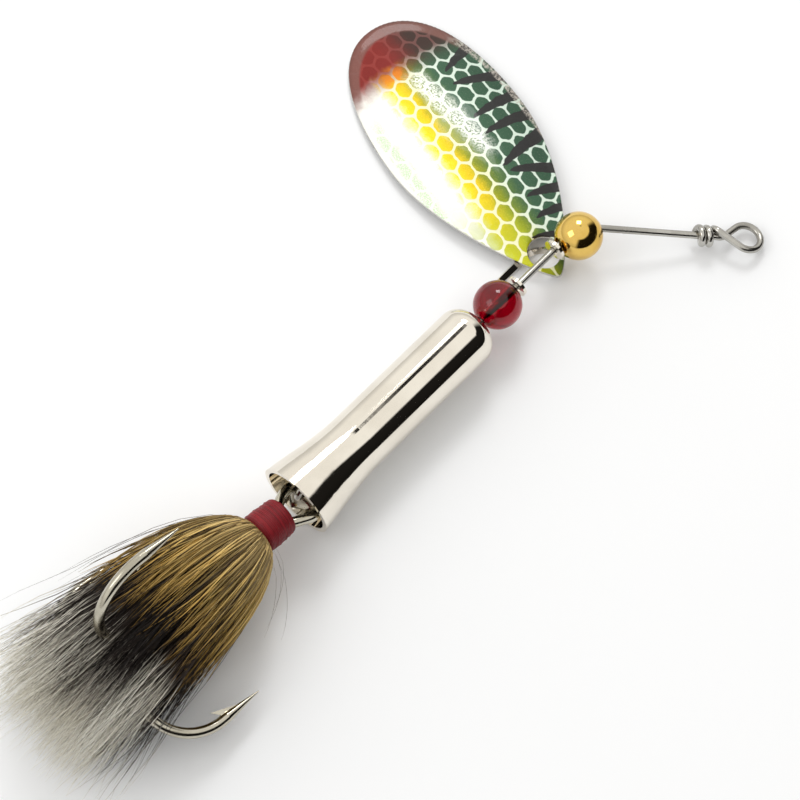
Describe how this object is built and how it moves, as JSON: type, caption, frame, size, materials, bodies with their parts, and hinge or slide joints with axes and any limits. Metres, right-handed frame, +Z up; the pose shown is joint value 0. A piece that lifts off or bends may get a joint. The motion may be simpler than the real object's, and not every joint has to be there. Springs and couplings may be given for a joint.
{
  "type": "inline spinner",
  "caption": "Inline fishing spinner with a bell body, oval painted blade on a clevis, brass and glass beads, and a hair-dressed treble hook.",
  "frame": {"origin": "middle of the footprint, on the surface that the spinner lies on", "axes": "+X forward along the straight shaft towards the line eye, +Y to the side where the blade lies, +Z up from the surface"},
  "size_m": [0.1068, 0.0572, 0.0239],
  "materials": {
    "shaft_wire": "bright drawn spring-steel wire",
    "front_bead": "polished brass",
    "clevis": "bright nickel plate",
    "blade": "airbrushed fish-scale finish under clear lacquer, bare nickel inside",
    "glass_bead": "clear cranberry-red glass",
    "body_shell": "polished nickel plate",
    "body_core": "turned brass",
    "treble_double_hook": "nickel-plated hook wire",
    "treble_braze": "plated braze",
    "thread_wrap": "varnished red whipping thread",
    "tail_hair": "banded animal hair"
  },
  "bodies": {
    "shaft": {"shaft_wire": "shaft_wire"},
    "front_bead": {"front_bead": "front_bead"},
    "clevis": {"clevis": "clevis"},
    "blade": {"blade": "blade"},
    "glass_bead": {"glass_bead": "glass_bead"},
    "bell": {"body_shell": "body_shell", "body_core": "body_core"},
    "treble": {"treble_double_hook": "treble_double_hook", "treble_third_hook": "treble_double_hook", "treble_braze": "treble_braze", "thread_wrap": "thread_wrap", "tail_bunch_right": "tail_hair", "tail_bunch_left": "tail_hair", "tail_bunch_under": "tail_hair"}
  },
  "joints": [
    {"name": "front_bead_spin", "type": "hinge", "parent": "shaft", "child": "front_bead", "pos_m": [0.03545, -0.0122, 0.00548], "axis": [0.9361, -0.337, -0.1011], "continuous": true},
    {"name": "clevis_spin", "type": "hinge", "parent": "shaft", "child": "clevis", "pos_m": [0.02853, -0.0114, 0.00573], "axis": [1, 0, 0], "continuous": true},
    {"name": "blade_flap", "type": "hinge", "parent": "clevis", "child": "blade", "pos_m": [0.03248, -0.00949, 0.00158], "axis": [1, 0, 0], "range_deg": [0, 30]},
    {"name": "glass_bead_spin", "type": "hinge", "parent": "shaft", "child": "glass_bead", "pos_m": [0.02165, -0.0114, 0.00573], "axis": [1, 0, 0], "continuous": true},
    {"name": "bell_spin", "type": "hinge", "parent": "shaft", "child": "bell", "pos_m": [0.00243, -0.0114, 0.00573], "axis": [1, 0, 0], "continuous": true},
    {"name": "treble_swing", "type": "hinge", "parent": "shaft", "child": "treble", "pos_m": [-0.01295, -0.012, 0.00633], "axis": [0.1357, 0.1023, 0.9855], "range_deg": [-35, 35]}
  ]
}
